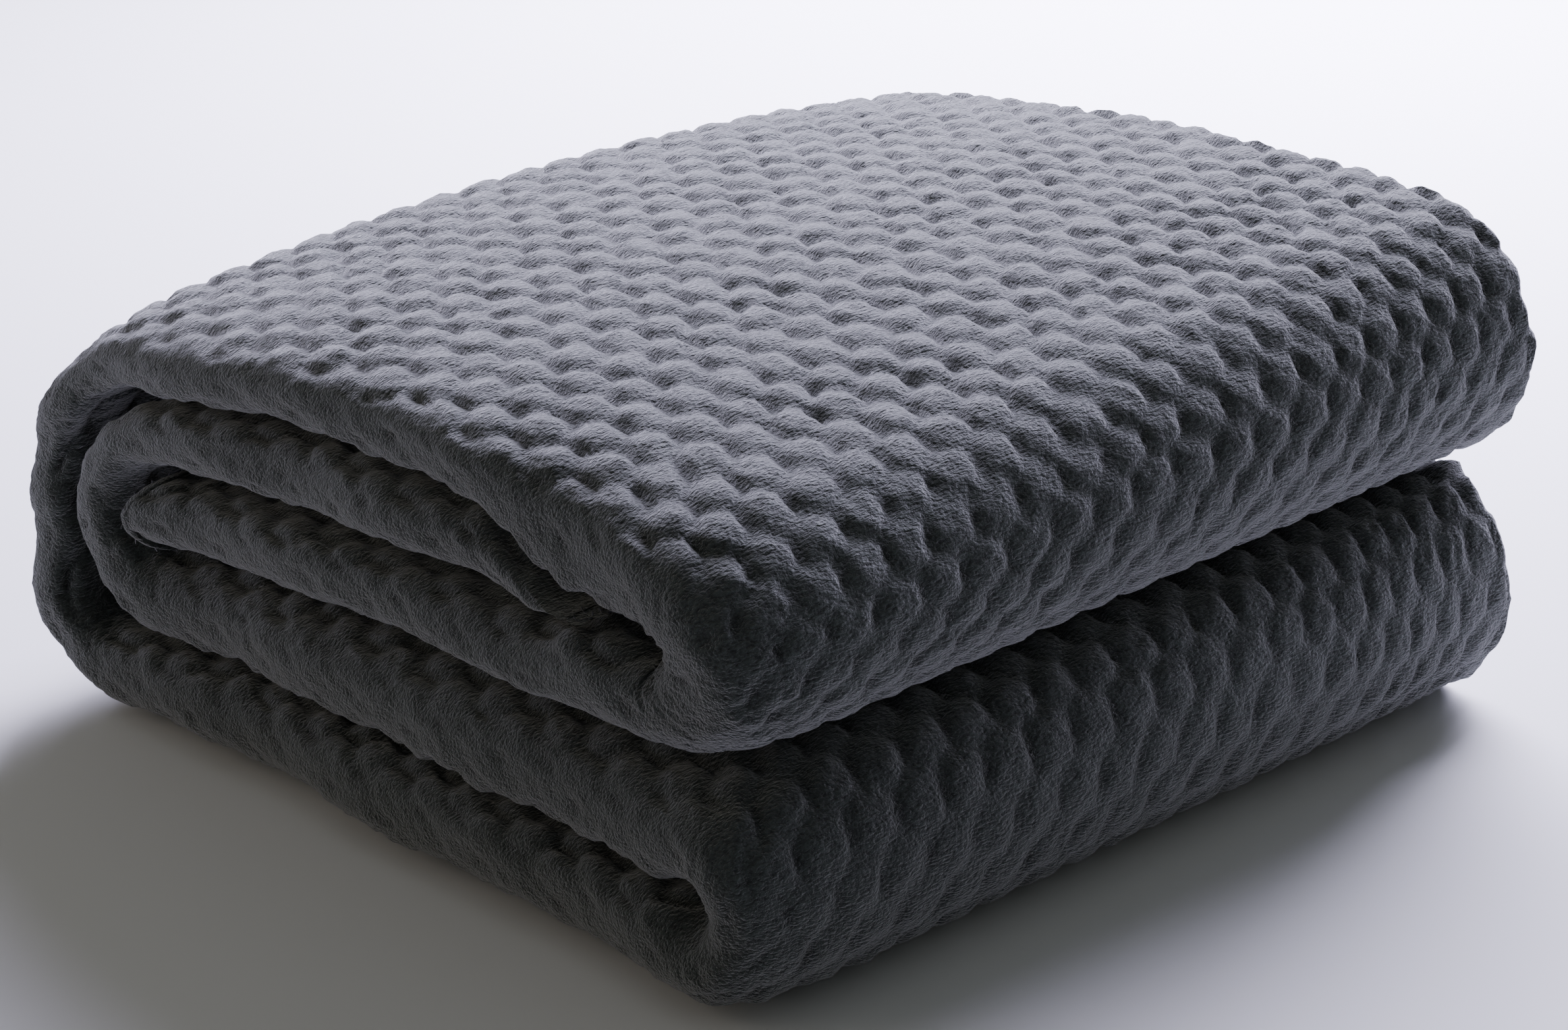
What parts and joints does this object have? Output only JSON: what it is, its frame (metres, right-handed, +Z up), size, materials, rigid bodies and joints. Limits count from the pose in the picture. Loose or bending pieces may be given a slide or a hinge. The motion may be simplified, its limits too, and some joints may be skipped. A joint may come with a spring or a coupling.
{
  "type": "folded throw blanket",
  "caption": "Fleece throw with a raised bump pattern, doubled twice and folded into five layers, with a spine that bends open like a book.",
  "frame": {"origin": "under the middle of the folded stack, on the plane it rests on", "axes": "+Z up; +X across the folds from the spine to the noses; +Y along the folds, from the closed fold to the hemmed edges"},
  "size_m": [0.3, 0.32, 0.1262],
  "materials": {
    "fleece": "brushed flannel fleece with a raised bump pattern, short pile",
    "hem": "turned fleece hem with a stitched edge"
  },
  "bodies": {
    "lower_leaf": {"bottom_panel": "fleece", "bottom_panel_first_side_hem": "hem", "bottom_panel_second_side_hem": "hem", "middle_panel": "fleece", "middle_panel_first_side_hem": "hem", "middle_panel_second_side_hem": "hem", "lower_nose_fold": "fleece", "lower_nose_fold_first_side_hem": "hem", "lower_nose_fold_second_side_hem": "hem", "outer_spine_base_bend": "fleece", "outer_spine_base_bend_first_side_hem": "hem", "outer_spine_base_bend_second_side_hem": "hem", "inner_spine_base_bend": "fleece", "inner_spine_base_bend_first_side_hem": "hem", "inner_spine_base_bend_second_side_hem": "hem"},
    "spine": {"outer_spine_wall": "fleece", "outer_spine_wall_first_side_hem": "hem", "outer_spine_wall_second_side_hem": "hem"},
    "upper_leaf": {"top_panel": "fleece", "top_panel_first_side_hem": "hem", "top_panel_second_side_hem": "hem", "inner_flap": "fleece", "inner_flap_first_side_hem": "hem", "inner_flap_second_side_hem": "hem", "tucked_flap": "fleece", "tucked_flap_first_side_hem": "hem", "tucked_flap_second_side_hem": "hem", "upper_nose_fold": "fleece", "upper_nose_fold_first_side_hem": "hem", "upper_nose_fold_second_side_hem": "hem", "outer_spine_top_bend": "fleece", "outer_spine_top_bend_first_side_hem": "hem", "outer_spine_top_bend_second_side_hem": "hem", "inner_spine_top_bend": "fleece", "inner_spine_top_bend_first_side_hem": "hem", "inner_spine_top_bend_second_side_hem": "hem", "inner_flap_end_hem": "hem", "tucked_flap_end_hem": "hem"}
  },
  "joints": [
    {"name": "spine_base_bend", "type": "hinge", "parent": "lower_leaf", "child": "spine", "pos_m": [-0.125, 0, 0.025], "axis": [0, -1, 0], "range_deg": [0, 90], "deforming": ["outer_spine_base_bend", "outer_spine_base_bend_first_side_hem", "outer_spine_base_bend_second_side_hem", "inner_spine_base_bend", "inner_spine_base_bend_first_side_hem", "inner_spine_base_bend_second_side_hem"]},
    {"name": "spine_top_bend", "type": "hinge", "parent": "spine", "child": "upper_leaf", "pos_m": [-0.125, 0, 0.1012], "axis": [0, -1, 0], "range_deg": [0, 90], "deforming": ["outer_spine_top_bend", "outer_spine_top_bend_first_side_hem", "outer_spine_top_bend_second_side_hem", "inner_spine_top_bend", "inner_spine_top_bend_first_side_hem", "inner_spine_top_bend_second_side_hem"]}
  ]
}
